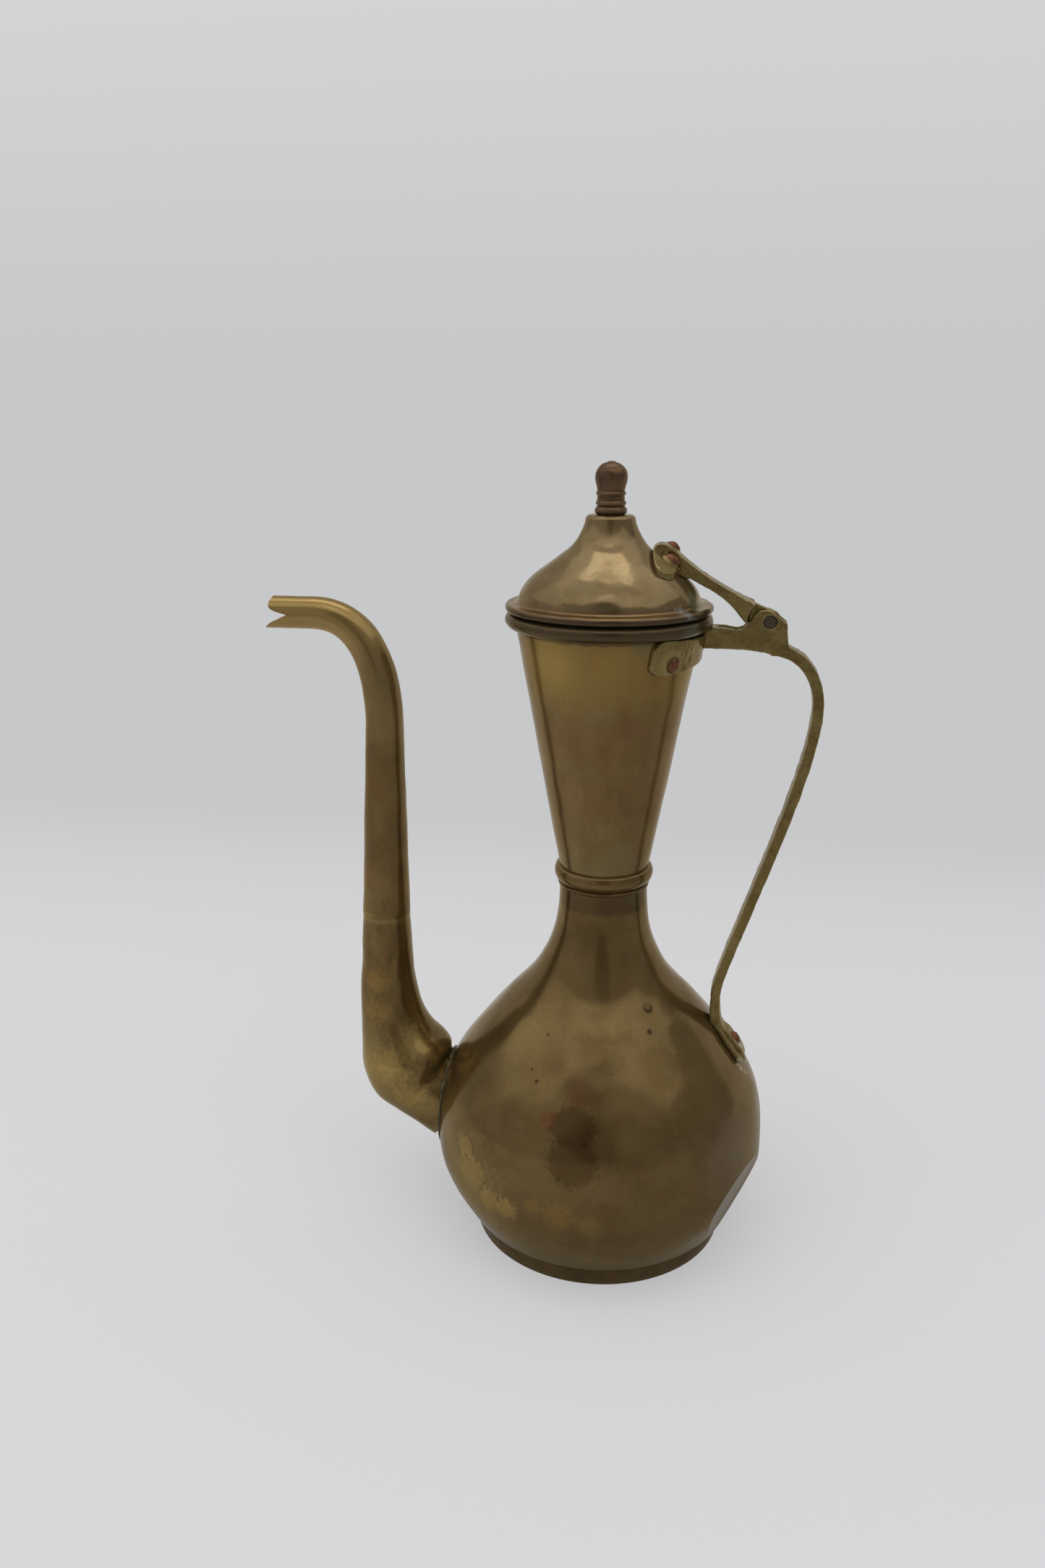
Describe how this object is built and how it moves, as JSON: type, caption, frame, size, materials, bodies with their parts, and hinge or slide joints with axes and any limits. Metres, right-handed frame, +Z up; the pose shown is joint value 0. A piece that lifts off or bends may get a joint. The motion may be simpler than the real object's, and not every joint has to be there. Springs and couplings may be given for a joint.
{
  "type": "long-necked brass ewer",
  "caption": "Long-necked metal pouring pot with a round bulb, swan-neck spout with a slit beak, strap handle and hinged domed lid.",
  "frame": {"origin": "centre of the foot ring's bottom plane, on the pot's axis", "axes": "+Z up along the pot's axis, +X towards the handle, the spout is on -X, the hinge pin runs along Y"},
  "size_m": [0.2301, 0.1446, 0.3364],
  "materials": {
    "foot_brass": "dark aged brass, worn at the edge",
    "bulb_brass": "aged olive-brown brass, softly polished, with stains and fine hammer facets",
    "cone_brass": "aged golden-brown brass, smooth",
    "spout_brass": "aged brass with golden rubbed patches",
    "lid_brass": "aged brass with hammer facets, softly polished",
    "finial_brass": "turned brass, worn smooth",
    "cast_brass": "yellow cast brass, filed, with rubbed edges",
    "copper": "red-brown copper, domed by a hammer",
    "iron": "dark iron wire",
    "solder": "grey-green solder"
  },
  "bodies": {
    "pot": {"foot_ring": "foot_brass", "base_disc": "foot_brass", "bulb": "bulb_brass", "bulb_neck": "bulb_brass", "neck_collar": "bulb_brass", "neck_cone": "cone_brass", "mouth_wire": "iron", "spout_elbow": "spout_brass", "spout_tube": "spout_brass", "spout_seam": "solder", "handle": "cast_brass", "hinge_pin": "iron", "neck_rivet_near": "copper", "neck_rivet_far": "copper", "foot_rivet": "copper"},
    "lid": {"lid_dome": "lid_brass", "lid_wire": "iron", "lid_bezel": "lid_brass", "lid_strap": "cast_brass", "lid_rivet_near": "copper", "lid_rivet_far": "copper", "finial": "finial_brass", "finial_rove": "finial_brass"}
  },
  "joints": [
    {"name": "lid_hinge", "type": "hinge", "parent": "pot", "child": "lid", "pos_m": [0.0638, 0, 0.27565], "axis": [0, 1, 0], "range_deg": [0, 115]}
  ]
}
